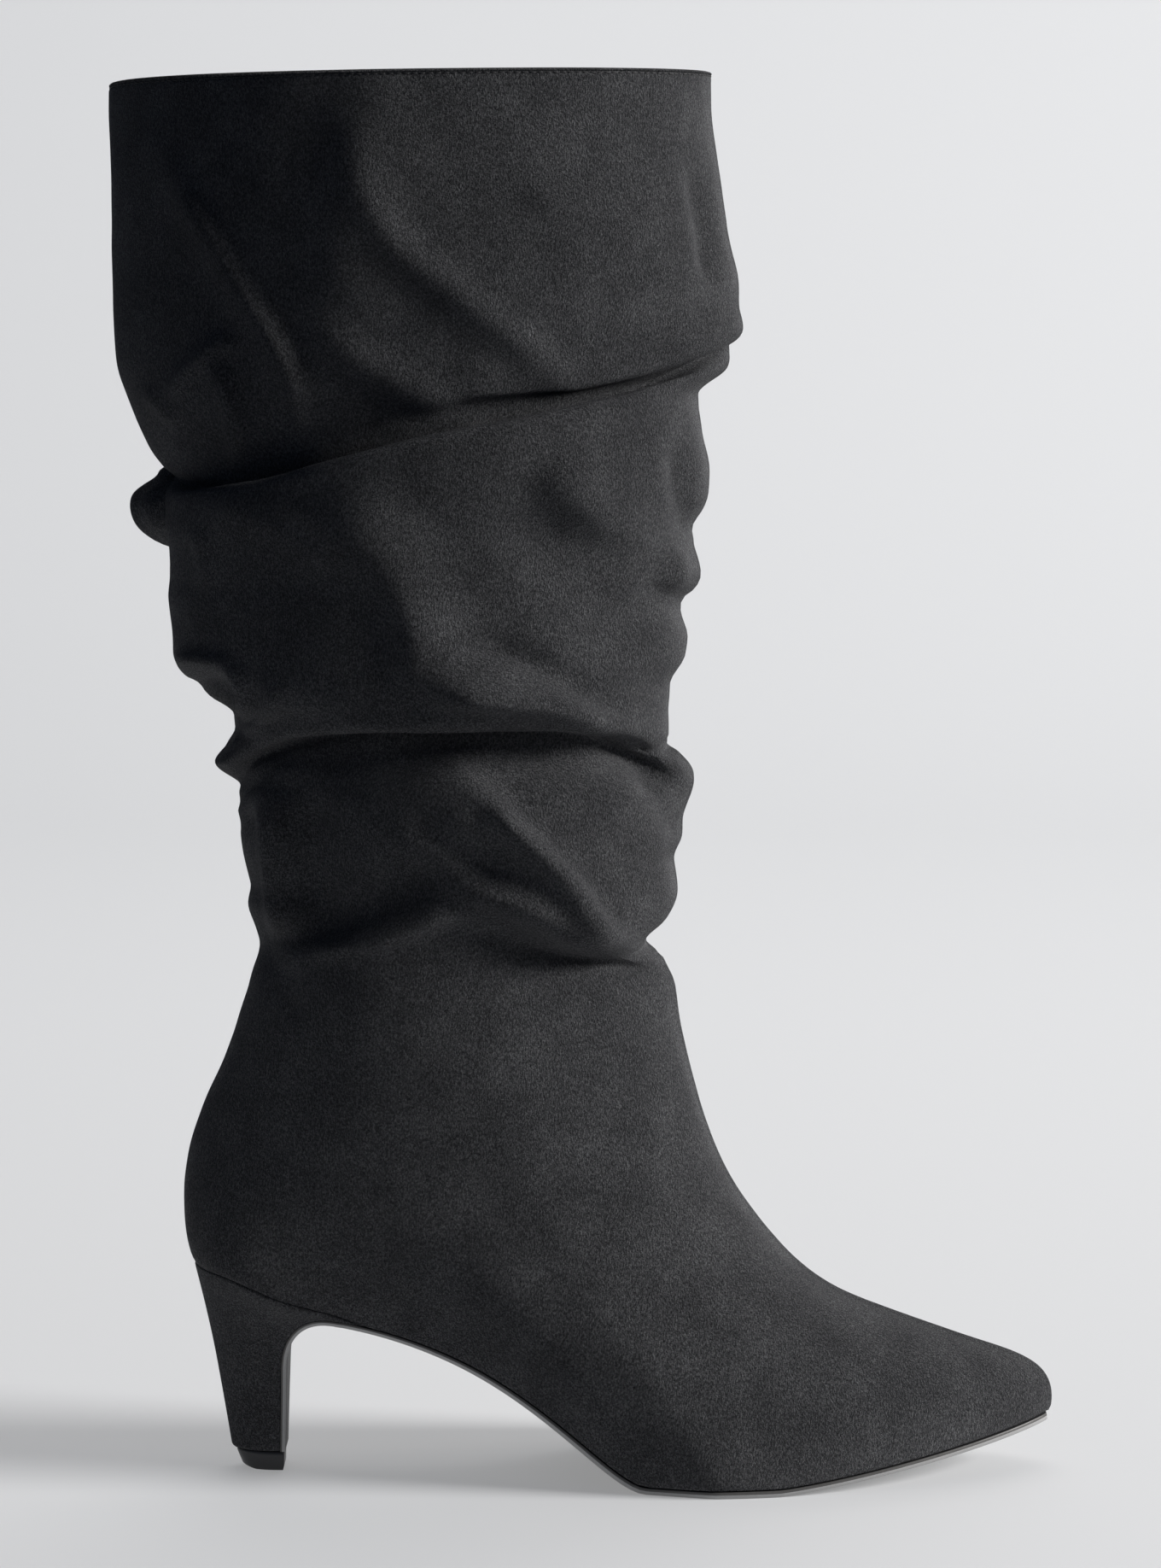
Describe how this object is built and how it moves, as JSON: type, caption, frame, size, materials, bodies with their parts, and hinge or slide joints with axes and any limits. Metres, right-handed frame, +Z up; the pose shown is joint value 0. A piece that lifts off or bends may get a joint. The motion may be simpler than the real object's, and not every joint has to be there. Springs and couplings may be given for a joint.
{
  "type": "slouch boot",
  "caption": "Pull-on slouch boot for the right foot in dark suede, with a pointed toe, a slim covered heel and a thin sole.",
  "frame": {"origin": "middle of the heel tip's underside, on the floor", "axes": "+X to the toe, +Y to the inner side of the foot, +Z up"},
  "size_m": [0.2865, 0.1063, 0.426],
  "materials": {
    "suede": "dark charcoal suede with a short brushed nap",
    "heel_suede": "the same suede, stretched over the heel",
    "sole_rubber": "smooth satin black, with a paler cut edge",
    "tip_rubber": "hard satin black",
    "sock_lining": "matte dark fabric"
  },
  "bodies": {
    "root": {"upper": "suede", "heel": "heel_suede", "outsole": "sole_rubber", "heel_tip": "tip_rubber", "insole": "sock_lining"}
  },
  "joints": []
}
